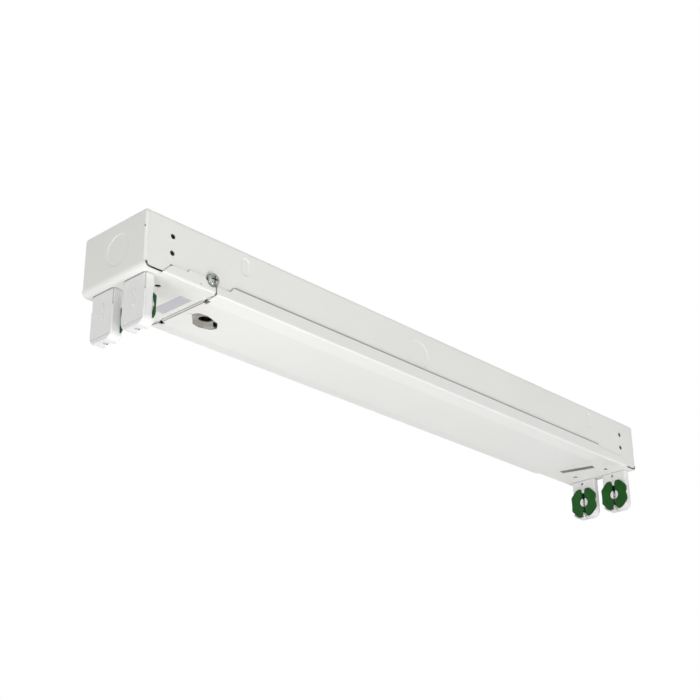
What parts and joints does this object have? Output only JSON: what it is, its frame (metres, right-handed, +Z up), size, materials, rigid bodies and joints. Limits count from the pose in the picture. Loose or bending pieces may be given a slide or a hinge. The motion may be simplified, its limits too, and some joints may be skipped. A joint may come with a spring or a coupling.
{
  "type": "tube light fixture",
  "caption": "Narrow white strip light for straight fluorescent tubes: sheet-steel channel with ballast, lift-off cover and turn-type lampholders at both ends.",
  "frame": {"origin": "centre of the channel's ceiling face", "axes": "+X along the channel, +Y across it, +Z up into the ceiling; lamps hang below"},
  "size_m": [0.622, 0.0792, 0.086],
  "materials": {
    "white_enamel": "baked white enamel",
    "cover_enamel": "baked white enamel, high reflectance",
    "zinc_screw": "zinc plated",
    "galvanised": "galvanised",
    "rivet_aluminium": "plain",
    "foil_label": "satin foil, blank",
    "holder_plastic": "moulded white",
    "rotor_plastic": "moulded dark green",
    "contact_brass": "spring brass",
    "ballast_can": "white can",
    "circuit_board": "glass-fibre board",
    "coil_varnish": "varnished winding",
    "capacitor_sleeve": "shrunk sleeve",
    "terminal_plastic": "moulded",
    "lead_blue": "wire insulation",
    "lead_red": "wire insulation",
    "lead_black": "wire insulation",
    "lead_white": "wire insulation",
    "connector_plastic": "moulded orange",
    "ring_tin": "tinned",
    "ground_green": "green dyed screw"
  },
  "bodies": {
    "fixture": {"channel": "white_enamel", "end_bracket_left": "white_enamel", "end_bracket_right": "white_enamel", "bracket_screws": "zinc_screw", "cover_bridge": "galvanised", "bridge_rivets": "rivet_aluminium", "label_left": "foil_label", "label_right": "foil_label", "holder_left_front": "holder_plastic", "holder_left_rear": "holder_plastic", "holder_right_front": "holder_plastic", "holder_right_rear": "holder_plastic", "holder_cap_left_front": "holder_plastic", "holder_cap_left_rear": "holder_plastic", "holder_cap_right_front": "holder_plastic", "holder_cap_right_rear": "holder_plastic", "contacts_left_front": "contact_brass", "contacts_left_rear": "contact_brass", "contacts_right_front": "contact_brass", "contacts_right_rear": "contact_brass", "ballast_case": "ballast_can", "ballast_base": "galvanised", "ballast_board": "circuit_board", "ballast_coils": "coil_varnish", "ballast_capacitors": "capacitor_sleeve", "ballast_terminals": "terminal_plastic", "ballast_screws": "zinc_screw", "leads_blue": "lead_blue", "leads_red": "lead_red", "lead_black": "lead_black", "lead_white": "lead_white", "wire_connectors": "connector_plastic", "ground_ring": "ring_tin", "ground_screw": "ground_green"},
    "cover": {"cover": "cover_enamel"},
    "rotor_left_front": {"rotor_left_front": "rotor_plastic"},
    "rotor_left_rear": {"rotor_left_rear": "rotor_plastic"},
    "rotor_right_front": {"rotor_right_front": "rotor_plastic"},
    "rotor_right_rear": {"rotor_right_rear": "rotor_plastic"}
  },
  "joints": [
    {"name": "cover_drop", "type": "slide", "parent": "fixture", "child": "cover", "axis": [0, 0, -1], "range_m": [0, 0.04]},
    {"name": "turn_left_front", "type": "hinge", "parent": "fixture", "child": "rotor_left_front", "pos_m": [-0.298, -0.018, -0.0704], "axis": [1, 0, 0], "range_deg": [-90, 90]},
    {"name": "turn_left_rear", "type": "hinge", "parent": "fixture", "child": "rotor_left_rear", "pos_m": [-0.298, 0.018, -0.0704], "axis": [1, 0, 0], "range_deg": [-90, 90]},
    {"name": "turn_right_front", "type": "hinge", "parent": "fixture", "child": "rotor_right_front", "pos_m": [0.298, -0.018, -0.0704], "axis": [1, 0, 0], "range_deg": [-90, 90]},
    {"name": "turn_right_rear", "type": "hinge", "parent": "fixture", "child": "rotor_right_rear", "pos_m": [0.298, 0.018, -0.0704], "axis": [1, 0, 0], "range_deg": [-90, 90]}
  ]
}
